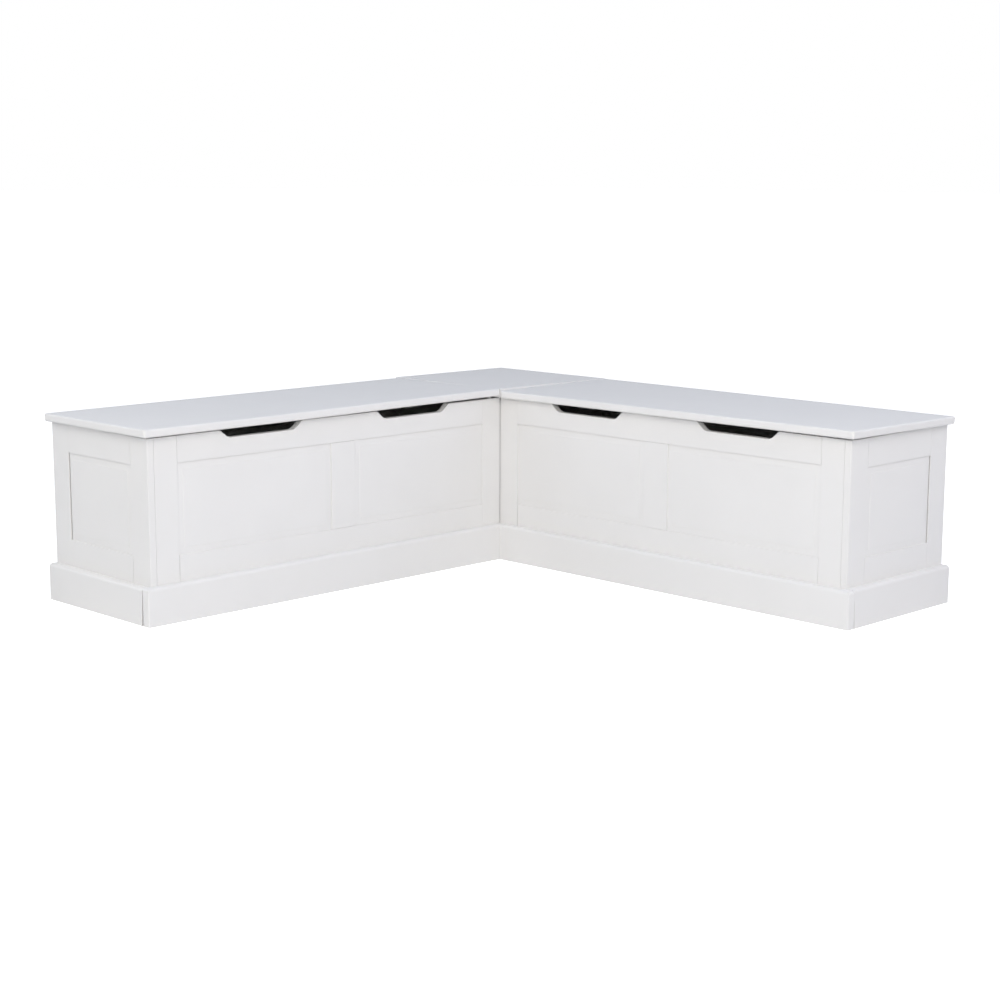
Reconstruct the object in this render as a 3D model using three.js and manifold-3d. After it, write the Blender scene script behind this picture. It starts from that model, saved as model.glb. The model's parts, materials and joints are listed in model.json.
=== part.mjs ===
// Corner storage bench: two storage wings under lift-up lids, joined by a fixed corner seat.
// Millimetres, +Z up. The origin is the centre of the footprint, on the floor.
import * as THREE from "three";
import { mergeVertices } from "three/addons/utils/BufferGeometryUtils.js";
import Module from "manifold-3d";

const wasm = await Module();
wasm.setup();

// Bench sizes
const seatHeight = 457;
const bodyLength = 1524;
const bodyDepth = 395;
const frameThickness = 18;
const jointGap = 0.3;
const seamGap = 0.5;
const cutOverrun = 5;

// Seat boards
const seatThickness = 20;
const seatOverhang = 20;
const seatSeam = 0.6;
const seatRound = 6;
const seatCornerRound = 8;
const seamCornerRound = 5;
const seamEase = 1.1;
const lidGap = 4.2;

// Front frame
const innerStileWidth = 66;
const outerStileWidth = 64;
const midStileWidth = 76;
const midStileShift = 8;
const topRailHeight = 63;
const bottomRailTop = 153;
const bottomRailLift = 24;

// End frame
const endFrontStileWidth = 67;
const endBackStileWidth = 68;
const endTopRailHeight = 66;
const endBottomRailTop = 155;
const frameCornerRound = 2;

// Grooves and raised panels
const grooveDepth = 8;
const tongueThickness = 5;
const panelMargin = 16;
const panelSetBack = 1.2;
const panelShoulder = 0.6;
const panelSlope = 1.6;
const endPanelReveal = 1.5;
const endPanelRevealDepth = 2.5;

// Finger cutouts
const cutoutWidth = 246;
const cutoutFloorWidth = 197;
const cutoutDepth = 18.8;
const cutoutSpacing = 488;
const cutoutRound = 30;

// Plinth
const plinthHeight = 92;
const plinthThickness = 22;
const plinthRound = 9;
const plinthEdgeRound = 4;
const plinthSeam = 2.5;

// Carcass
const partitionThickness = 18;
const backRailHeight = 70;
const backThickness = 12;
const floorThickness = 12;
const floorHeight = 40;
const floorGrooveDepth = 6;
const cleatSize = 20;
const postSize = 45;

// Lid hinge, battens and bumpers
const leafThickness = 0.8;
const leafWidth = 15;
const knuckleBore = 1.1;
const pinRadius = 0.85;
const knuckleGap = 0.5;
const hingeInset = 24;
const battenWidth = 60;
const battenThickness = 18;
const battenInset = 190;
const battenSetBack = 46;
const bumperRadius = 5;
const bumperSetBack = 9;

// Counts
const knuckleCount = 21;
const knuckleSides = 20;
const roundSteps = 8;
const bumperSides = 16;

// Derived levels and planes. In a wing, "along" runs from the room corner to the wing's end,
// "depth" from the back plane to the front, and "up" from the floor.
const seatUnder = seatHeight - seatThickness;
const bodyTop = seatUnder - lidGap;
const seatDepth = bodyDepth + seatOverhang;
const seatLength = bodyLength + seatOverhang;
const plinthFront = bodyDepth + plinthThickness;
const plinthEnd = bodyLength + plinthThickness;
const endInside = bodyLength - frameThickness;
const frontInside = bodyDepth - frameThickness;
const partitionInside = bodyDepth + partitionThickness;
const topRailBottom = bodyTop - topRailHeight;
const tongueLength = grooveDepth - jointGap;
const tongueSetBack = panelSetBack + panelShoulder + panelSlope;
const innerEdge = bodyDepth + innerStileWidth;
const outerEdge = endInside - outerStileWidth;
const lidStart = seatDepth + seatSeam;
const knuckleRadius = lidGap / 2 - jointGap;
const hingeDepth = -(knuckleRadius + jointGap);
const hingeUp = bodyTop + lidGap / 2;
const backReach = knuckleRadius - hingeDepth;
const footprint = plinthEnd + backReach;
const roomCorner = footprint / 2 - backReach;

// Finishes
const paint = { color: 0xe9e8e5, roughness: 0.45, metalness: 0 };
const seatPaint = { color: 0xe9e8e5, roughness: 0.38, metalness: 0 };
const steel = { color: 0xb8b8b4, roughness: 0.35, metalness: 0.9 };
const rubber = { color: 0xcfcfca, roughness: 0.8, metalness: 0 };

function solidOf(geometry) {
  const bare = geometry.clone();
  bare.deleteAttribute("normal");
  bare.deleteAttribute("uv");
  const merged = mergeVertices(bare);
  return new wasm.Manifold(
    new wasm.Mesh({
      numProp: 3,
      vertProperties: merged.attributes.position.array,
      triVerts: new Uint32Array(merged.index.array),
    }),
  );
}

function geometryOf(solid) {
  const made = solid.getMesh();
  const geometry = new THREE.BufferGeometry();
  geometry.setAttribute("position", new THREE.BufferAttribute(made.vertProperties, 3));
  geometry.setIndex(new THREE.BufferAttribute(made.triVerts, 1));
  geometry.computeVertexNormals();
  return geometry;
}

function pieceOf(name, solid, finish) {
  const mesh = new THREE.Mesh(geometryOf(solid), new THREE.MeshStandardMaterial(finish));
  mesh.name = name;
  return mesh;
}

// A board between two limits along, in depth and up.
function board(along, depth, up) {
  const [length, width, height] = [along, depth, up].map(([low, high]) => high - low);
  const geometry = new THREE.BoxGeometry(length, width, height);
  geometry.translate(along[0] + length / 2, depth[0] + width / 2, up[0] + height / 2);
  return solidOf(geometry);
}

function extruded(shape, length) {
  const options = { depth: length, bevelEnabled: false, curveSegments: roundSteps };
  return new THREE.ExtrudeGeometry(shape, options);
}

// A prism whose outline is drawn in depth and up.
function prismAlong(shape, [start, end]) {
  const geometry = extruded(shape, end - start);
  const turn = new THREE.Matrix4().makeBasis(
    new THREE.Vector3(0, 1, 0),
    new THREE.Vector3(0, 0, 1),
    new THREE.Vector3(1, 0, 0),
  );
  geometry.applyMatrix4(turn);
  geometry.translate(start, 0, 0);
  return solidOf(geometry);
}

// A prism whose outline is drawn along and up.
function prismDeep(shape, [back, front]) {
  const geometry = extruded(shape, front - back);
  geometry.rotateX(Math.PI / 2);
  geometry.translate(0, front, 0);
  return solidOf(geometry);
}

// A prism whose outline is drawn along and in depth.
function prismUp(shape, [low, high]) {
  const geometry = extruded(shape, high - low);
  geometry.translate(0, 0, low);
  return solidOf(geometry);
}

// A rod along the wing at one depth and level.
function rodAlong(radius, sides, [start, end], depth, up) {
  const geometry = new THREE.CylinderGeometry(radius, radius, end - start, sides);
  geometry.rotateZ(Math.PI / 2);
  geometry.translate((start + end) / 2, depth, up);
  return solidOf(geometry);
}

// A closed outline with each corner [x, y, radius] rounded where its radius isn't zero.
function roundedOutline(corners) {
  const shape = new THREE.Shape();
  corners.forEach(([x, y, radius], index) => {
    const corner = new THREE.Vector2(x, y);
    const [lastX, lastY] = corners[(index + corners.length - 1) % corners.length];
    const [nextX, nextY] = corners[(index + 1) % corners.length];
    const backward = new THREE.Vector2(lastX, lastY).sub(corner);
    const forward = new THREE.Vector2(nextX, nextY).sub(corner);
    const half = backward.clone().normalize().angleTo(forward.clone().normalize()) / 2;
    const reach = radius / Math.tan(half);
    const entry = corner.clone().addScaledVector(backward.normalize(), reach);
    const exit = corner.clone().addScaledVector(forward.normalize(), reach);
    const add = index ? shape.lineTo.bind(shape) : shape.moveTo.bind(shape);
    add(entry.x, entry.y);
    if (radius > 0) {
      shape.quadraticCurveTo(corner.x, corner.y, exit.x, exit.y);
    }
  });
  return shape;
}

// Frame members and panels are drawn on the frame's face: "side" runs across it, "up" runs up it,
// and "inset" goes into it from the face. These two functions stand a frame in the wing.
function onFront(side, up, inset) {
  return board(side, [bodyDepth - inset[1], bodyDepth - inset[0]], up);
}

function onEnd(side, up, inset) {
  return board([bodyLength - inset[1], bodyLength - inset[0]], side, up);
}

const frameInset = [0, frameThickness];
const tongueInset = [tongueSetBack, tongueSetBack + tongueThickness];
const grooveInset = [tongueInset[0] - jointGap, tongueInset[1] + jointGap];

// An upright with a groove down each of the edges named: "low" is its edge nearer the start.
function stile(onFace, side, up, groovedEdges) {
  let solid = onFace(side, up, frameInset);
  const cutUp = [up[0] - cutOverrun, up[1] + cutOverrun];
  if (groovedEdges.includes("low")) {
    solid = solid.subtract(onFace([side[0] - cutOverrun, side[0] + grooveDepth], cutUp, grooveInset));
  }
  if (groovedEdges.includes("high")) {
    solid = solid.subtract(onFace([side[1] - grooveDepth, side[1] + cutOverrun], cutUp, grooveInset));
  }
  return solid;
}

// A rail with a tongue on each end, let into the stiles, and a groove down one edge.
function rail(onFace, side, up, groovedEdge) {
  const cutSide = [side[0] - grooveDepth - cutOverrun, side[1] + grooveDepth + cutOverrun];
  const lowCut = [up[0] - cutOverrun, up[0] + grooveDepth];
  const highCut = [up[1] - grooveDepth, up[1] + cutOverrun];
  const cutUp = groovedEdge === "low" ? lowCut : highCut;
  const shoulders = [side[0] + seamGap, side[1] - seamGap];
  const tongues = [side[0] - tongueLength, side[1] + tongueLength];
  return onFace(shoulders, up, frameInset)
    .add(onFace(tongues, up, tongueInset))
    .subtract(onFace(cutSide, cutUp, grooveInset));
}

// The mid stile stands between the rails, with a tongue up and down and a groove down each edge.
function midStile(side, up) {
  const shoulders = [up[0] + seamGap, up[1] - seamGap];
  const tongues = [up[0] - tongueLength, up[1] + tongueLength];
  const tongueSide = [side[0] + grooveDepth, side[1] - grooveDepth];
  const upright = stile(onFront, side, shoulders, ["low", "high"]);
  return upright.add(onFront(tongueSide, tongues, tongueInset));
}

// A raised panel: its tongue lies in the grooves, and its field stands forward of a sloped margin,
// whose outer edge is flush with the tongue.
function raisedPanel(onFace, side, up) {
  const stage = (reach, inset) => {
    const across = [side[0] - reach, side[1] + reach];
    return onFace(across, [up[0] - reach, up[1] + reach], inset);
  };
  const back = tongueInset[1];
  const margin = wasm.Manifold.hull([
    stage(0, tongueInset),
    stage(-panelMargin, [panelSetBack + panelShoulder, back]),
  ]);
  return stage(tongueLength, tongueInset)
    .add(margin)
    .add(stage(-panelMargin, [panelSetBack, back]));
}

// A narrow rebate sets the end panel's margin apart from the back stile.
function endPanel(side, up) {
  const rebateSide = [side[0] - grooveDepth, side[0] + endPanelReveal];
  const rebateUp = [up[0] - grooveDepth, up[1] + grooveDepth];
  const rebateInset = [-cutOverrun, tongueSetBack + endPanelRevealDepth];
  return raisedPanel(onEnd, side, up).subtract(onEnd(rebateSide, rebateUp, rebateInset));
}

// The two finger cutouts are trapezoids in the top edge of the front's top rail.
function fingerCutout(centre) {
  const top = bodyTop + cutOverrun;
  const floor = bodyTop - cutoutDepth;
  const slope = (cutoutWidth - cutoutFloorWidth) / 2 / cutoutDepth;
  const half = cutoutWidth / 2 + slope * cutOverrun;
  const floorHalf = cutoutFloorWidth / 2;
  const shape = roundedOutline([
    [centre - half, top, 0],
    [centre - floorHalf, floor, cutoutRound],
    [centre + floorHalf, floor, cutoutRound],
    [centre + half, top, 0],
  ]);
  return prismDeep(shape, [frontInside - cutOverrun, bodyDepth + cutOverrun]);
}

function frontFrame(label) {
  const middle = (innerEdge + outerEdge) / 2;
  const midStart = middle - midStileShift - midStileWidth / 2;
  const midSide = [midStart, midStart + midStileWidth];
  const openingUp = [bottomRailTop, topRailBottom];
  const panelAcross = (side) => raisedPanel(onFront, side, openingUp);
  const fullUp = [0, bodyTop];
  const cutouts = [-1, 1].map((sign) => fingerCutout(middle + (sign * cutoutSpacing) / 2));
  const topRail = cutouts.reduce(
    (solid, cutout) => solid.subtract(cutout),
    rail(onFront, [innerEdge, outerEdge], [topRailBottom, bodyTop], "low"),
  );
  const bottomRail = rail(onFront, [innerEdge, outerEdge], [bottomRailLift, bottomRailTop], "high");
  const innerStile = stile(onFront, [bodyDepth + seamGap, innerEdge], fullUp, ["high"]);
  const outerStile = stile(onFront, [outerEdge, endInside - seamGap], fullUp, ["low"]);
  return [
    pieceOf(label + "front_inner_stile", innerStile, paint),
    pieceOf(label + "front_mid_stile", midStile(midSide, openingUp), paint),
    pieceOf(label + "front_outer_stile", outerStile, paint),
    pieceOf(label + "front_top_rail", topRail, paint),
    pieceOf(label + "front_bottom_rail", bottomRail.subtract(floorGroove()), paint),
    pieceOf(label + "front_inner_panel", panelAcross([innerEdge, midSide[0]]), paint),
    pieceOf(label + "front_outer_panel", panelAcross([midSide[1], outerEdge]), paint),
  ];
}

function endFrame(label) {
  const backEdge = endBackStileWidth;
  const frontEdge = bodyDepth - endFrontStileWidth;
  const fullUp = [0, bodyTop];
  const side = [backEdge, frontEdge];
  const openingUp = [endBottomRailTop, bodyTop - endTopRailHeight];
  const cornerPlan = roundedOutline([
    [endInside, frontEdge, 0],
    [bodyLength, frontEdge, 0],
    [bodyLength, bodyDepth, frameCornerRound],
    [endInside, bodyDepth, 0],
  ]);
  const frontStile = stile(onEnd, [frontEdge, bodyDepth], fullUp, ["low"]);
  const topRail = rail(onEnd, side, [openingUp[1], bodyTop], "low");
  const bottomRail = rail(onEnd, side, [bottomRailLift, openingUp[0]], "high");
  return [
    pieceOf(label + "end_back_stile", stile(onEnd, [0, backEdge], fullUp, ["high"]), paint),
    pieceOf(label + "end_front_stile", frontStile.intersect(prismUp(cornerPlan, fullUp)), paint),
    pieceOf(label + "end_top_rail", topRail, paint),
    pieceOf(label + "end_bottom_rail", bottomRail, paint),
    pieceOf(label + "end_panel", endPanel(side, openingUp), paint),
  ];
}

// The plinth's outline from its back to its face, with the top edge rounded over.
function plinthOutline(back, face) {
  return roundedOutline([
    [back, 0, 0],
    [face, 0, 0],
    [face, plinthHeight, plinthRound],
    [back, plinthHeight, 0],
  ]);
}

function plinth(label) {
  const behind = bodyDepth + jointGap;
  const beside = bodyLength + jointGap;
  const mitreGap = jointGap / 2;
  const plan = roundedOutline([
    [behind + mitreGap, behind, 0],
    [plinthEnd, behind, 0],
    [plinthEnd, plinthFront, plinthEdgeRound],
    [plinthFront + mitreGap, plinthFront, 0],
  ]);
  const across = [behind - cutOverrun, plinthFront + cutOverrun];
  const front = prismAlong(plinthOutline(behind, plinthFront), [bodyDepth, plinthEnd + cutOverrun])
    .intersect(prismDeep(plinthOutline(bodyDepth, plinthEnd), across))
    .intersect(prismUp(plan, [-cutOverrun, plinthHeight + cutOverrun]));
  const end = prismDeep(plinthOutline(beside, plinthEnd), [0, behind - plinthSeam]);
  return [pieceOf(label + "plinth_front", front, paint), pieceOf(label + "plinth_end", end, paint)];
}

// The floor panel has a tongue between the stiles, which lies in a groove on the bottom rail's back.
function floorGroove() {
  const depth = [frontInside - cutOverrun, frontInside + floorGrooveDepth + jointGap];
  const up = [floorHeight - jointGap, floorHeight + floorThickness + jointGap];
  return board([bodyDepth, endInside], depth, up);
}

function carcass(label) {
  const inside = [partitionInside + jointGap, endInside - jointGap];
  const railUp = [bodyTop - backRailHeight, bodyTop];
  const partition = board([bodyDepth, partitionInside], [0, frontInside - jointGap], [0, bodyTop]);
  const backPanel = board(inside, [0, backThickness], [0, railUp[0] - jointGap]);
  const floorUp = [floorHeight, floorHeight + floorThickness];
  const floorTongue = [innerEdge + jointGap, outerEdge - jointGap];
  const floorPanel = board(inside, [backThickness + jointGap, frontInside - jointGap], floorUp).add(
    board(floorTongue, [frontInside - cutOverrun, frontInside + floorGrooveDepth], floorUp),
  );
  const cleatUp = [floorHeight - jointGap - cleatSize, floorHeight - jointGap];
  const cleat = board(inside, [backThickness + jointGap, backThickness + jointGap + cleatSize], cleatUp);
  return [
    pieceOf(label + "partition", partition, paint),
    pieceOf(label + "back_rail", board(inside, [0, frameThickness], railUp), paint),
    pieceOf(label + "back_panel", backPanel, paint),
    pieceOf(label + "floor_panel", floorPanel, paint),
    pieceOf(label + "floor_cleat", cleat, paint),
  ];
}

// A lid is square at the back, eased at its seam, and rounded at the front and the outer end.
function lidBoard() {
  const up = [seatUnder, seatHeight];
  const section = roundedOutline([
    [0, up[0], 0],
    [seatDepth, up[0], seatRound],
    [seatDepth, up[1], seatRound],
    [0, up[1], seamEase],
  ]);
  const length = roundedOutline([
    [lidStart, up[0], 0],
    [seatLength, up[0], seatRound],
    [seatLength, up[1], seatRound],
    [lidStart, up[1], seamEase],
  ]);
  const plan = roundedOutline([
    [lidStart, 0, 0],
    [seatLength, 0, 0],
    [seatLength, seatDepth, seatCornerRound],
    [lidStart, seatDepth, seamCornerRound],
  ]);
  return prismAlong(section, [lidStart, seatLength])
    .intersect(prismDeep(length, [0, seatDepth]))
    .intersect(prismUp(plan, up));
}

function batten(start) {
  const up = [seatUnder - jointGap - battenThickness, seatUnder - jointGap];
  return board([start, start + battenWidth], [battenSetBack, frontInside - battenSetBack], up);
}

// A continuous hinge lies in the gap under the lid. Its leaves hold every other knuckle.
const hingeSpan = [lidStart + hingeInset, endInside - hingeInset];
const knucklePitch = (hingeSpan[1] - hingeSpan[0]) / knuckleCount;

function hingeLeaf(up, firstKnuckle) {
  let solid = board(hingeSpan, [0, leafWidth], up);
  for (let index = firstKnuckle; index < knuckleCount; index += 2) {
    const start = hingeSpan[0] + index * knucklePitch;
    const span = [start + knuckleGap / 2, start + knucklePitch - knuckleGap / 2];
    solid = solid
      .add(board(span, [hingeDepth, jointGap], up))
      .add(rodAlong(knuckleRadius, knuckleSides, span, hingeDepth, hingeUp));
  }
  const bore = rodAlong(
    knuckleBore,
    knuckleSides,
    [hingeSpan[0] - cutOverrun, hingeSpan[1] + cutOverrun],
    hingeDepth,
    hingeUp,
  );
  return solid.subtract(bore);
}

function bumper(along) {
  const height = lidGap - 2 * jointGap;
  const geometry = new THREE.CylinderGeometry(bumperRadius, bumperRadius, height, bumperSides);
  geometry.rotateX(Math.PI / 2);
  geometry.translate(along, bodyDepth - bumperSetBack, hingeUp);
  return solidOf(geometry);
}

function lid(label) {
  const bodyLeafUp = [bodyTop + jointGap, bodyTop + jointGap + leafThickness];
  const lidLeafUp = [seatUnder - jointGap - leafThickness, seatUnder - jointGap];
  const innerBumper = bodyDepth + innerStileWidth / 2;
  const outerBumper = endInside - outerStileWidth / 2;
  return [
    pieceOf(label + "lid", lidBoard(), seatPaint),
    pieceOf(label + "lid_batten_inner", batten(lidStart + battenInset), paint),
    pieceOf(label + "lid_batten_outer", batten(seatLength - battenInset - battenWidth), paint),
    pieceOf(label + "hinge_body_leaf", hingeLeaf(bodyLeafUp, 0), steel),
    pieceOf(label + "hinge_lid_leaf", hingeLeaf(lidLeafUp, 1), steel),
    pieceOf(label + "hinge_pin", rodAlong(pinRadius, knuckleSides, hingeSpan, hingeDepth, hingeUp), steel),
    pieceOf(label + "bumper_inner", bumper(innerBumper), rubber),
    pieceOf(label + "bumper_outer", bumper(outerBumper), rubber),
  ];
}

// The corner seat board lies on the frames, without the lids' gap.
function cornerTop() {
  const up = [bodyTop + jointGap, seatHeight];
  const section = roundedOutline([
    [0, up[0], 0],
    [seatDepth, up[0], 0],
    [seatDepth, up[1], seamEase],
    [0, up[1], seamEase],
  ]);
  return prismAlong(section, [0, seatDepth]).intersect(prismDeep(section, [0, seatDepth]));
}

// The corner seat stands on two posts, two back boards and the wings' partitions.
function corner() {
  const cornerUp = [0, bodyTop];
  const postInside = [bodyDepth - jointGap - postSize, bodyDepth - jointGap];
  const postOutside = [0, postSize];
  const backSpan = [postSize + jointGap, bodyDepth - jointGap];
  const backBoard = [0, backThickness];
  return [
    pieceOf("corner_top", cornerTop(), seatPaint),
    pieceOf("corner_post", board(postInside, postInside, cornerUp), paint),
    pieceOf("corner_wall_post", board(postOutside, postOutside, cornerUp), paint),
    pieceOf("corner_back_left", board(backSpan, backBoard, cornerUp), paint),
    pieceOf("corner_back_right", board(backBoard, backSpan, cornerUp), paint),
  ];
}

function wing(label) {
  return [...frontFrame(label), ...endFrame(label), ...plinth(label), ...carcass(label), ...lid(label)];
}

// The left wing runs towards -Y from the room corner. The right wing mirrors it and runs towards +X.
function placed(pieces, turn, mirror) {
  const group = new THREE.Group();
  group.position.set(-roomCorner, roomCorner, 0);
  group.rotation.z = turn;
  group.scale.y = mirror;
  group.add(...pieces);
  return group;
}

const bench = new THREE.Group();
bench.add(placed([...wing("left_"), ...corner()], -Math.PI / 2, 1));
bench.add(placed(wing("right_"), 0, -1));

export default bench;
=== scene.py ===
import json
import math

import bmesh
import bpy
from mathutils import Euler, Matrix, Vector

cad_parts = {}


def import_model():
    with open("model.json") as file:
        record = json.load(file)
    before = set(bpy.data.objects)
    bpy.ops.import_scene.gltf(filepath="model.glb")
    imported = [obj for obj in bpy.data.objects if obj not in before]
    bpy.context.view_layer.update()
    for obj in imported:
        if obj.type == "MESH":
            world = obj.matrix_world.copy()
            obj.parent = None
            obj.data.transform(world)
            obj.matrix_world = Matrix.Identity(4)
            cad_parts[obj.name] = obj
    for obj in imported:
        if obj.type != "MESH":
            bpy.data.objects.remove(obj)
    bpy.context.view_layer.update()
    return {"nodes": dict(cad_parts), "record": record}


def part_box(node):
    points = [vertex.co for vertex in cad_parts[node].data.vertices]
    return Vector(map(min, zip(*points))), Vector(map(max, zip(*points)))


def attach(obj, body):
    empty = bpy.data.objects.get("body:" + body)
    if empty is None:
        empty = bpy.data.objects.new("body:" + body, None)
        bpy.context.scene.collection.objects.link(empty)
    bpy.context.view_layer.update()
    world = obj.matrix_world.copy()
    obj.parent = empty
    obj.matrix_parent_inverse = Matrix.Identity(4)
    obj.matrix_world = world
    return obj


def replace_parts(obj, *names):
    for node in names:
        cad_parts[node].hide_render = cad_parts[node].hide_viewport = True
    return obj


# The bench's painted boards, hinges and screws, in metres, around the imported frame.
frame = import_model()

# The wings leave the room corner along +X (right) and -Y (left). The corner top fills the corner.
RIGHTWARD = Vector((1, 0, 0))
FORWARD = Vector((0, -1, 0))
corner_low, corner_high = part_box("corner_top")
ROOM_CORNER = Vector((corner_low.x, corner_high.y, 0))
SEAT_DEPTH = corner_high.x - corner_low.x

# Camera, at the photograph's angle. Azimuth runs from -Y towards +X.
IMAGE_SIDE = 1000
SENSOR_WIDTH = 36.0
FOCAL_PIXELS = 1931.3
CAMERA_AZIMUTH = math.radians(45.18)
CAMERA_ELEVATION = math.radians(9.88)
CAMERA_ROLL = math.radians(0.17)
CAMERA_DISTANCE = 4.787
CAMERA_TARGET = Vector((-0.0836, 0.0858, 0.2285))

# Eased edges
BOARD_EASE = 0.0005
METAL_EASE = 0.00012
RUBBER_EASE = 0.0004
EASE_STEPS = 2
ROUND_PROFILE = 0.5
WELD = 1e-6
FLAT_ANGLE = math.radians(0.5)
SHARP_ANGLE = math.radians(30)
SMOOTH_ANGLE = math.radians(40)

# Colours, and the share by which each varies either way
PAINT_COLOUR = (0.80, 0.787, 0.768)
PAINT_SPREAD = 0.008
STEEL_COLOUR = (0.62, 0.62, 0.61)
STEEL_SPREAD = 0.05
RUBBER_COLOUR = (0.68, 0.68, 0.66)
RUBBER_SPREAD = 0.04

# Gloss and roughness
PAINT_GLOSS = 0.12
BODY_ROUGHNESS = 0.42
SEAT_ROUGHNESS = 0.45
GRAIN_ROUGHENS = 0.05
STEEL_ROUGHNESS = (0.28, 0.42)
RUBBER_ROUGHNESS = (0.7, 0.85)

# Scales of the noise in the finishes, per metre
GRAIN_ACROSS = 90.0
GRAIN_ALONG = 3.5
PEEL_SCALE = 420.0
PATCH_SCALE = 5.0
BRUSH_SCALE = (4000.0, 4000.0, 60.0)
SPECKLE_SCALE = 900.0

# Detail and roughness of that noise, and the levels of it between which two shades blend
GRAIN_NOISE = (5.0, 0.6)
PLAIN_NOISE = (2.0, 0.5)
PATCH_BLEND = (0.35, 0.65)
SPECKLE_BLEND = (0.3, 0.7)

# Strength and height of the relief in the paint
GRAIN_RELIEF = (0.35, 0.00012)
PEEL_RELIEF = (0.15, 0.00004)

# Screws along the hinges and under the battens
HINGE_SCREW_RADIUS = 0.0026
HINGE_SCREW_INSET = 0.0124
HINGE_SCREW_COUNT = 14
LEAF_THICKNESS = 0.0008
BATTEN_SCREW_RADIUS = 0.004
BATTEN_SCREW_INSETS = (0.015, 0.04)

# A screw's head. Its sizes are shares of its radius.
HEAD_SIDES = 24
HEAD_RINGS = 5
HEAD_TURNS = [math.tau * index / HEAD_SIDES for index in range(HEAD_SIDES)]
HEAD_DOME = 0.12
HEAD_DEPTH = 0.5
NECK_RADIUS = 0.4
SLOT_WIDTH = 0.15
SLOT_REACH = 0.62
SLOT_DEPTH = 0.3

# How far panels lie forward against their grooves' lips
CONTACT_SHIFT = 0.00028

# How deep a plinth is bedded in at its back and its mitre, the slack within which a vertex is on the
# back, and the distance from the room corner within which the mitre lies
BEDDING = 0.0009
BACK_SLACK = 0.00002
MITRE_END = 0.45

# How far a board's inner or outer shoulder is shifted along the wing, or towards the front on an
# end, at its bottom and at its top
SEAM_SHIFTS = {
    "right_front_inner_stile": (("inner", 0.0008, 0.0008), ("outer", -0.0004, -0.0004)),
    "left_front_inner_stile": (("inner", 0.0008, 0.0008),),
    "right_front_top_rail": (("inner", -0.0008, -0.0008),),
    "left_front_top_rail": (("inner", -0.0004, -0.0004),),
    "right_front_bottom_rail": (("inner", 0.0007, 0.0007),),
    "left_front_bottom_rail": (("outer", -0.0004, -0.0004),),
    "left_end_bottom_rail": (("outer", -0.001, -0.0008),),
    "right_plinth_end": (("outer", -0.0018, 0.0022),),
    "left_plinth_end": (("outer", -0.0056, -0.0004),),
}

# How far each lid's front edge stands off its level, by the distance from the room corner, and the
# distances at which a lid gets edges across it
LID_TWIST = {
    "right": ((0.416, -0.0012), (0.708, 0.0006), (1.196, 0.0020), (1.544, 0.0033)),
    "left": ((0.416, 0.0052), (0.708, 0.0037), (1.196, 0.0005), (1.544, 0.0004)),
}
LID_STATIONS = (0.5, 0.6, 0.708, 0.82, 0.95, 1.07, 1.196, 1.3, 1.42)

# How far the lower edge of each lid's outer end stands in, and of both ends of each batten
LID_END_LEAN = {"right": 0.002, "left": 0.0008}
BATTEN_SLOPE = 0.015

# How far the corner top stands up at its outer corners: beside each lid's back and in the front
CORNER_RISE = {"left_back": 0.0025, "right_back": 0.001, "front": 0.0045}

# How far the tops of the frames and of the plinth boards stand off their level, by the distance
# from the room corner on a front and by the depth on an end
FRAME_RISE = {
    "right_front": ((0.395, 0.0022), (0.95, 0.0026), (1.35, 0.0018), (1.524, 0.0018)),
    "left_front": (
        (0.395, 0.0014), (0.6, 0.0014), (0.8, 0.0022), (1.05, 0.0020), (1.3, 0.0003), (1.524, 0.0)
    ),
    "right_end": ((0.0, 0.0020), (0.395, 0.0018)),
    "left_end": ((0.0, 0.0010), (0.395, 0.0)),
}
PLINTH_RISE = {
    "right_plinth_front": ((0.395, 0.0030), (1.0, 0.0008), (1.546, -0.0022)),
    "left_plinth_front": ((0.395, 0.0030), (1.0, 0.0020), (1.546, -0.0025)),
    "right_plinth_end": ((0.0, 0.0010), (0.395, 0.0)),
    "left_plinth_end": ((0.0, -0.0020), (0.395, -0.0040)),
}

# The top edge of a frame lies above this level
FRAME_EDGE_LEVEL = 0.43

# The distances from the room corner at which a front plinth gets edges across it
PLINTH_STATIONS = (0.7, 1.0, 1.3)

# Sky and floor
WHITE = (1, 1, 1, 1)
SKY_COLOUR = (0.1, 0.1, 0.1, 1)
FLOOR_COLOUR = (0.82, 0.82, 0.82, 1)
FLOOR_ROUGHNESS = 0.9
FLOOR_GLOW = 0.93
FLOOR_SIZE = 60.0

# Lamps: azimuth and elevation in degrees, power in watts, and colour
LAMP_SIZE = 3.0
LAMP_DISTANCE = 4.5
LAMPS = {
    "left_key": (10, 28, 53, (1.0, 0.98, 0.94)),
    "right_key": (80, 28, 51, (1.0, 0.98, 0.99)),
    "front_key": (45, 30, 69, (1.0, 0.99, 0.97)),
    "left_side": (-50, 30, 50, (0.84, 0.89, 1.0)),
    "right_side": (140, 30, 50, (0.80, 0.84, 1.0)),
    "top_fill": (45, 80, 38, (0.45, 0.63, 1.0)),
}


# Nodes of a material

def new_material(name):
    material = bpy.data.materials.new(name)
    material.use_nodes = True
    tree = material.node_tree
    return material, tree, tree.nodes["Principled BSDF"]


def add_node(tree, kind, **values):
    node = tree.nodes.new(kind)
    for key, value in values.items():
        if key in node.inputs:
            node.inputs[key].default_value = value
        else:
            setattr(node, key, value)
    return node


def stretched_noise(tree, scale, detail, roughness):
    place = add_node(tree, "ShaderNodeTexCoord")
    mapping = add_node(tree, "ShaderNodeMapping", Scale=scale)
    noise = add_node(tree, "ShaderNodeTexNoise", Scale=1.0, Detail=detail, Roughness=roughness)
    tree.links.new(place.outputs["Object"], mapping.inputs["Vector"])
    tree.links.new(mapping.outputs["Vector"], noise.inputs["Vector"])
    return noise.outputs["Fac"]


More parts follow.
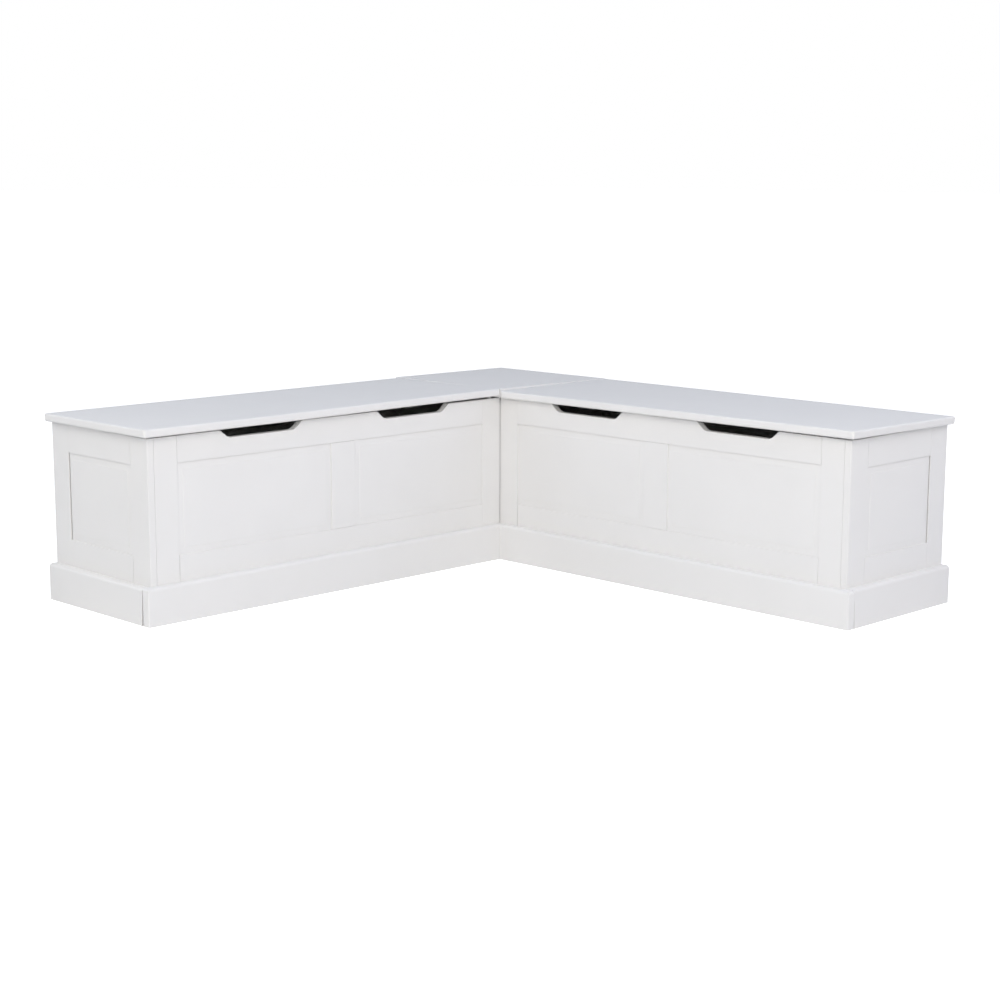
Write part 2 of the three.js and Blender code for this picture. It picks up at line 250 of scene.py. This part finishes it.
def shades(colour, spread):
    """A darker and a lighter shade of a colour."""
    return [tuple(min(1.0, channel * (1 + step * spread)) for channel in colour) for step in (-1, 1)]


def ramp(tree, factor, low, high, colours):
    node = add_node(tree, "ShaderNodeValToRGB")
    for stop, place, colour in zip(node.color_ramp.elements, (low, high), colours):
        stop.position = place
        stop.color = (*colour, 1)
    tree.links.new(factor, node.inputs["Fac"])
    return node.outputs["Color"]


def levels(tree, factor, low, high):
    node = add_node(tree, "ShaderNodeMapRange")
    node.inputs["To Min"].default_value = low
    node.inputs["To Max"].default_value = high
    tree.links.new(factor, node.inputs["Value"])
    return node.outputs["Result"]


def bumped(tree, height, strength, distance, below=None):
    node = add_node(tree, "ShaderNodeBump", Strength=strength, Distance=distance)
    tree.links.new(height, node.inputs["Height"])
    if below:
        tree.links.new(below, node.inputs["Normal"])
    return node.outputs["Normal"]


# Finishes

def paint(name, axis, roughness):
    """Satin paint on wood. The grain shows faintly through the paint, along the board."""
    material, tree, shader = new_material(name)
    scale = [GRAIN_ACROSS] * 3
    scale[axis] = GRAIN_ALONG
    grain = stretched_noise(tree, scale, *GRAIN_NOISE)
    peel = stretched_noise(tree, [PEEL_SCALE] * 3, *PLAIN_NOISE)
    patches = stretched_noise(tree, [PATCH_SCALE] * 3, *PLAIN_NOISE)
    tone = ramp(tree, patches, *PATCH_BLEND, shades(PAINT_COLOUR, PAINT_SPREAD))
    rough = levels(tree, grain, roughness - GRAIN_ROUGHENS, roughness + GRAIN_ROUGHENS)
    relief = bumped(tree, grain, *GRAIN_RELIEF, bumped(tree, peel, *PEEL_RELIEF))
    tree.links.new(tone, shader.inputs["Base Color"])
    tree.links.new(rough, shader.inputs["Roughness"])
    tree.links.new(relief, shader.inputs["Normal"])
    shader.inputs["Specular IOR Level"].default_value = PAINT_GLOSS
    return material


def paints(slot, roughness):
    """One paint with its grain along X, along Y and along Z."""
    return [paint(slot + "_" + letter, axis, roughness) for axis, letter in enumerate("xyz")]


def steel():
    """Steel brushed along Z."""
    material, tree, shader = new_material("hinge_steel")
    brushed = stretched_noise(tree, BRUSH_SCALE, *PLAIN_NOISE)
    tone = ramp(tree, brushed, *SPECKLE_BLEND, shades(STEEL_COLOUR, STEEL_SPREAD))
    tree.links.new(tone, shader.inputs["Base Color"])
    tree.links.new(levels(tree, brushed, *STEEL_ROUGHNESS), shader.inputs["Roughness"])
    shader.inputs["Metallic"].default_value = 1.0
    return material


def rubber():
    """Pale rubber with fine speckles."""
    material, tree, shader = new_material("bumper_rubber")
    speckle = stretched_noise(tree, [SPECKLE_SCALE] * 3, *PLAIN_NOISE)
    tone = ramp(tree, speckle, *SPECKLE_BLEND, shades(RUBBER_COLOUR, RUBBER_SPREAD))
    tree.links.new(tone, shader.inputs["Base Color"])
    tree.links.new(levels(tree, speckle, *RUBBER_ROUGHNESS), shader.inputs["Roughness"])
    return material


# The finish of each slot: a material for each axis that the grain may run along, and the easing
body_paints = paints("body_paint", BODY_ROUGHNESS)
seat_paints = paints("seat_paint", SEAT_ROUGHNESS)
hinge_steel = steel()
finishes = {
    "body_paint": (body_paints, BOARD_EASE),
    "seat_paint": (seat_paints, BOARD_EASE),
    "hinge_steel": ([hinge_steel] * 3, METAL_EASE),
    "bumper_rubber": ([rubber()] * 3, RUBBER_EASE),
}


# Places and directions

def side_of(node):
    return node.split("_")[0]


def middle_of(node):
    low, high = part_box(node)
    return (low + high) / 2


def grain_axis(node):
    """The grain runs along the board's longest side."""
    low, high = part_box(node)
    sides = high - low
    return max(range(3), key=lambda axis: sides[axis])


def wing_directions(side):
    """The directions along a wing, from the room corner, and out of its front."""
    return (RIGHTWARD, FORWARD) if side == "right" else (FORWARD, RIGHTWARD)


def wing_place(side, point):
    """The distance from the room corner along a wing, and the depth from its back plane."""
    return [(point - ROOM_CORNER).dot(direction) for direction in wing_directions(side)]


def board_directions(node):
    """The direction that a board of a wing's front or end faces, and the one that it runs in."""
    along, forward = wing_directions(side_of(node))
    is_end = "_end_" in node or node.endswith("_end")
    return (along, forward) if is_end else (forward, along)


def between(rows, place):
    """The value at a place in rows of places and values."""
    place = min(max(place, rows[0][0]), rows[-1][0])
    for (start, low), (end, high) in zip(rows, rows[1:]):
        if place <= end:
            return low + (high - low) * (place - start) / (end - start)


# Real boards aren't quite straight and level

def lift(side, point):
    """How far the twisted lid stands off its level above or below a point."""
    along, depth = wing_place(side, point)
    return between(LID_TWIST[side], along) * depth / SEAT_DEPTH


def frame_rise(node, point):
    """How far a frame's top edge stands off its level at a point."""
    side = side_of(node)
    along, depth = wing_place(side, point)
    if "_end_" in node:
        return between(FRAME_RISE[side + "_end"], depth)
    return between(FRAME_RISE[side + "_front"], along)


def raise_frame(node, vertices):
    """The top edge of a frame's board stands off its level."""
    for vertex in vertices:
        if vertex.co.z > FRAME_EDGE_LEVEL:
            vertex.co.z += frame_rise(node, vertex.co)


def raise_corner_top(vertices):
    """The corner top stands up at its outer corners."""
    for vertex in vertices:
        right_share, left_share = (reach / SEAT_DEPTH for reach in wing_place("right", vertex.co))
        vertex.co.z += CORNER_RISE["front"] * right_share * left_share
        vertex.co.z += CORNER_RISE["right_back"] * right_share * (1 - left_share)
        vertex.co.z += CORNER_RISE["left_back"] * left_share * (1 - right_share)


def raise_with_lid(side, vertices):
    """The lid twists, and its battens and their screws with it."""
    for vertex in vertices:
        vertex.co.z += lift(side, vertex.co)


def stretch_bumper(node, vertices):
    """A bumper reaches from the frame to the twisted lid."""
    middle = middle_of(node)
    for vertex in vertices:
        above = vertex.co.z > middle.z
        vertex.co.z += lift(side_of(node), middle) if above else frame_rise(node, middle)


def warp(name, vertices):
    """Moves a piece's vertices from their level, by the kind of piece."""
    if "_front_" in name or "_end_" in name:
        raise_frame(name, vertices)
    elif name == "corner_top":
        raise_corner_top(vertices)
    elif "_lid" in name and "hinge" not in name:
        raise_with_lid(side_of(name), vertices)
    elif "_bumper_" in name:
        stretch_bumper(name, vertices)


# Shapes of the boards

def contact_shift(node):
    """Panels lie against their grooves' lips."""
    if node.endswith(("inner_panel", "outer_panel", "end_panel")):
        facing, _ = board_directions(node)
        return facing * CONTACT_SHIFT
    return Vector()


def whole_form(node):
    """A CAD solid with whole faces, set against its neighbours."""
    form = bmesh.new()
    form.from_mesh(frame["nodes"][node].data)
    bmesh.ops.remove_doubles(form, verts=form.verts, dist=WELD)
    bmesh.ops.dissolve_limit(form, angle_limit=FLAT_ANGLE, verts=form.verts, edges=form.edges)
    bmesh.ops.translate(form, vec=contact_shift(node), verts=form.verts)
    return form


def cut_across(form, side, stations):
    """Edges across a board, so that it can twist or bend."""
    along, _ = wing_directions(side)
    for station in stations:
        geometry = [*form.verts, *form.edges, *form.faces]
        place = ROOM_CORNER + along * station
        bmesh.ops.bisect_plane(form, geom=geometry, plane_co=place, plane_no=along)


def lean_end(node, vertices):
    """The outer end of a lid leans in towards its lower edge."""
    low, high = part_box(node)
    middle = middle_of(node)
    side = side_of(node)
    along, _ = wing_directions(side)
    for vertex in vertices:
        if (vertex.co - middle).dot(along) > 0:
            vertex.co -= along * LID_END_LEAN[side] * (high.z - vertex.co.z) / (high.z - low.z)


def slope_ends(node, vertices):
    """A batten is shorter below than above."""
    middle = middle_of(node)
    axis = grain_axis(node)
    for vertex in vertices:
        if vertex.co.z < middle.z:
            vertex.co[axis] -= math.copysign(BATTEN_SLOPE, vertex.co[axis] - middle[axis])


def raise_plinth(node, vertices):
    """The top of a plinth board stands off its level."""
    middle = middle_of(node)
    for vertex in vertices:
        along, depth = wing_place(side_of(node), vertex.co)
        if vertex.co.z > middle.z:
            vertex.co.z += between(PLINTH_RISE[node], along if node.endswith("front") else depth)


def bed_plinth(node, vertices):
    """A plinth's back and its mitre are bedded in, so that no eased edge shows there."""
    facing, run = board_directions(node)
    back = min(corner.dot(facing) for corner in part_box(node))
    for vertex in vertices:
        along, _ = wing_place(side_of(node), vertex.co)
        if vertex.co.dot(facing) < back + BACK_SLACK:
            vertex.co -= facing * BEDDING
        if node.endswith("front") and along < MITRE_END:
            vertex.co -= run * BEDDING


def spread_seams(node, vertices):
    """Some shoulders stand a little further off than others. The shift may differ at top and bottom."""
    low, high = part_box(node)
    middle = middle_of(node)
    _, run = board_directions(node)
    for place, bottom_shift, top_shift in SEAM_SHIFTS[node]:
        for vertex in vertices:
            share = (vertex.co.z - low.z) / (high.z - low.z)
            beyond = (vertex.co - middle).dot(run) * (1 if place == "outer" else -1)
            if beyond > 0:
                vertex.co += run * (bottom_shift + (top_shift - bottom_shift) * share)


def ease_edges(form, ease):
    sharp = [edge for edge in form.edges if edge.calc_face_angle(0) > SHARP_ANGLE]
    bmesh.ops.bevel(
        form, geom=sharp, offset=ease, segments=EASE_STEPS, profile=ROUND_PROFILE, affect="EDGES",
        clamp_overlap=True,
    )


def eased_form(node, ease):
    """A CAD solid with its sharp edges eased and the small faults of a real board."""
    form = whole_form(node)
    if "_batten_" in node:
        slope_ends(node, form.verts)
    if node.endswith("_plinth_front"):
        cut_across(form, side_of(node), PLINTH_STATIONS)
    if "_plinth_" in node:
        raise_plinth(node, form.verts)
        bed_plinth(node, form.verts)
    if node in SEAM_SHIFTS:
        spread_seams(node, form.verts)
    ease_edges(form, ease)
    if node.endswith("_lid"):
        lean_end(node, form.verts)
        cut_across(form, side_of(node), LID_STATIONS)
    warp(node, form.verts)
    return form


# Pieces

def body_holding(node):
    return next(name for name, nodes in frame["record"]["behaviour"]["bodies"].items() if node in nodes)


def smooth_piece(name, form, material):
    """A piece of the scene, shaded smooth between its sharp edges."""
    mesh = bpy.data.meshes.new(name)
    form.to_mesh(mesh)
    form.free()
    mesh.shade_smooth()
    mesh.set_sharp_from_angle(angle=SMOOTH_ANGLE)
    mesh.materials.append(material)
    piece = bpy.data.objects.new(name, mesh)
    bpy.context.scene.collection.objects.link(piece)
    return piece


def eased(node, slot):
    """A piece that stands for a CAD solid."""
    materials, ease = finishes[slot]
    piece = smooth_piece(node + "_eased", eased_form(node, ease), materials[grain_axis(node)])
    piece.modifiers.new("flat faces", "WEIGHTED_NORMAL").keep_sharp = True
    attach(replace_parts(piece, node), body_holding(node))


for subpart in frame["record"]["subparts"]:
    eased(subpart["node"], subpart["material_slot"])


# Screws. A head is drawn in its own radius, facing up, and scaled where it is set.

def head_height(x, y):
    """The dome of a countersunk head, with a cross cut in it."""
    reach = math.hypot(x, y)
    dome = HEAD_DOME * (1 - reach * reach)
    in_slot = min(abs(x), abs(y)) < SLOT_WIDTH and reach < SLOT_REACH
    return dome - SLOT_DEPTH if in_slot else dome


def circle(radius):
    return [(radius * math.cos(turn), radius * math.sin(turn)) for turn in HEAD_TURNS]


def add_head(form, centre, radius, facing):
    """One screw head at centre, facing up (1) or down (-1)."""
    def corner(x, y, z):
        return form.verts.new(centre + Vector((x, y * facing, z * facing)) * radius)

    rings = []
    for ring in range(1, HEAD_RINGS + 1):
        rings.append([corner(x, y, head_height(x, y)) for x, y in circle(ring / HEAD_RINGS)])
    rings.append([corner(x, y, -HEAD_DEPTH) for x, y in circle(NECK_RADIUS)])
    middle = corner(0, 0, head_height(0, 0))
    for index in range(HEAD_SIDES):
        following = (index + 1) % HEAD_SIDES
        form.faces.new((middle, rings[0][index], rings[0][following]))
        for inner, outer in zip(rings, rings[1:]):
            form.faces.new((inner[index], outer[index], outer[following], inner[following]))
    form.faces.new(rings[-1][::-1])


def screws(node, centres, radius, facing):
    """The equal screws of a hinge leaf or a batten, as one piece."""
    form = bmesh.new()
    for centre in centres:
        add_head(form, centre, radius, facing)
    warp(node, form.verts)
    piece = smooth_piece(node + "_screws", form, hinge_steel)
    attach(piece, body_holding(node))


def hinge_screws(leaf, inward, level, facing):
    """Screws along a leaf. "inward" points from the barrel to the leaf's far edge."""
    low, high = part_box(leaf)
    along = grain_axis(leaf)
    across = 1 - along
    back = high[across] if inward < 0 else low[across]
    pitch = (high[along] - low[along]) / HINGE_SCREW_COUNT
    centres = []
    for index in range(HINGE_SCREW_COUNT):
        centre = Vector((0, 0, level))
        centre[along] = low[along] + (index + 0.5) * pitch
        centre[across] = back + inward * HINGE_SCREW_INSET
        centres.append(centre)
    screws(leaf, centres, HINGE_SCREW_RADIUS, facing)


def batten_screws(batten):
    """Four screws under a batten."""
    low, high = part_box(batten)
    across, along = BATTEN_SCREW_INSETS
    inset = Vector((along, across, 0)) if grain_axis(batten) == 0 else Vector((across, along, 0))
    low, high = low + inset, high - inset
    centres = [Vector((x, y, low.z)) for x in (low.x, high.x) for y in (low.y, high.y)]
    screws(batten, centres, BATTEN_SCREW_RADIUS, -1)


for side, inward in (("left", 1), ("right", -1)):
    body_leaf, lid_leaf = side + "_hinge_body_leaf", side + "_hinge_lid_leaf"
    hinge_screws(body_leaf, inward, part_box(body_leaf)[0].z + LEAF_THICKNESS, 1)
    hinge_screws(lid_leaf, inward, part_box(lid_leaf)[1].z - LEAF_THICKNESS, -1)
    batten_screws(side + "_lid_batten_inner")
    batten_screws(side + "_lid_batten_outer")


# Floor and light

def background_rays(tree):
    """One for the rays that see the background: the camera's and those in gloss and glass."""
    path = add_node(tree, "ShaderNodeLightPath")
    seen = path.outputs["Is Camera Ray"]
    for kind in ("Is Glossy Ray", "Is Transmission Ray"):
        either = add_node(tree, "ShaderNodeMath", operation="MAXIMUM")
        tree.links.new(seen, either.inputs[0])
        tree.links.new(path.outputs[kind], either.inputs[1])
        seen = either.outputs[0]
    return seen


def floor():
    """A pale floor that takes the bench's shadow."""
    mesh = bpy.data.meshes.new("floor")
    form = bmesh.new()
    bmesh.ops.create_grid(form, x_segments=1, y_segments=1, size=FLOOR_SIZE)
    form.to_mesh(mesh)
    form.free()
    material, tree, shader = new_material("floor")
    shader.inputs["Base Color"].default_value = FLOOR_COLOUR
    shader.inputs["Roughness"].default_value = FLOOR_ROUGHNESS
    shader.inputs["Emission Color"].default_value = WHITE
    glow = levels(tree, background_rays(tree), 0.0, FLOOR_GLOW)
    tree.links.new(glow, shader.inputs["Emission Strength"])
    mesh.materials.append(material)
    piece = bpy.data.objects.new("floor", mesh)
    bpy.context.scene.collection.objects.link(piece)


def world():
    """A plain grey sky. As a background it shows white."""
    made = bpy.data.worlds.new("studio")
    made.use_nodes = True
    tree = made.node_tree
    sky = tree.nodes["Background"]
    sky.inputs["Color"].default_value = SKY_COLOUR
    seen = add_node(tree, "ShaderNodeBackground", Color=WHITE, Strength=1.0)
    mix = add_node(tree, "ShaderNodeMixShader")
    tree.links.new(background_rays(tree), mix.inputs["Fac"])
    tree.links.new(sky.outputs["Background"], mix.inputs[1])
    tree.links.new(seen.outputs["Background"], mix.inputs[2])
    tree.links.new(mix.outputs["Shader"], tree.nodes["World Output"].inputs["Surface"])
    bpy.context.scene.world = made


def towards(azimuth, elevation):
    """The direction from the bench to a place at that azimuth and elevation."""
    level = math.cos(elevation)
    return Vector((math.sin(azimuth) * level, -math.cos(azimuth) * level, math.sin(elevation)))


def softbox(name, azimuth, elevation, power, colour):
    light = bpy.data.lights.new(name, "AREA")
    light.energy = power
    light.color = colour
    light.size = LAMP_SIZE
    lamp = bpy.data.objects.new(name, light)
    direction = towards(math.radians(azimuth), math.radians(elevation))
    lamp.location = CAMERA_TARGET + direction * LAMP_DISTANCE
    lamp.rotation_euler = direction.to_track_quat("Z", "Y").to_euler()
    bpy.context.scene.collection.objects.link(lamp)


def camera():
    lens = bpy.data.cameras.new("camera")
    lens.sensor_width = SENSOR_WIDTH
    lens.lens = FOCAL_PIXELS / IMAGE_SIDE * SENSOR_WIDTH
    piece = bpy.data.objects.new("camera", lens)
    aim = Euler((math.pi / 2 - CAMERA_ELEVATION, 0, CAMERA_AZIMUTH)).to_matrix()
    turned = aim @ Matrix.Rotation(CAMERA_ROLL, 3, "Z")
    place = CAMERA_TARGET + towards(CAMERA_AZIMUTH, CAMERA_ELEVATION) * CAMERA_DISTANCE
    piece.matrix_world = Matrix.Translation(place) @ turned.to_4x4()
    bpy.context.scene.collection.objects.link(piece)
    bpy.context.scene.camera = piece


floor()
world()
for name, settings in LAMPS.items():
    softbox(name, *settings)
camera()
bpy.context.scene.view_settings.view_transform = "Standard"
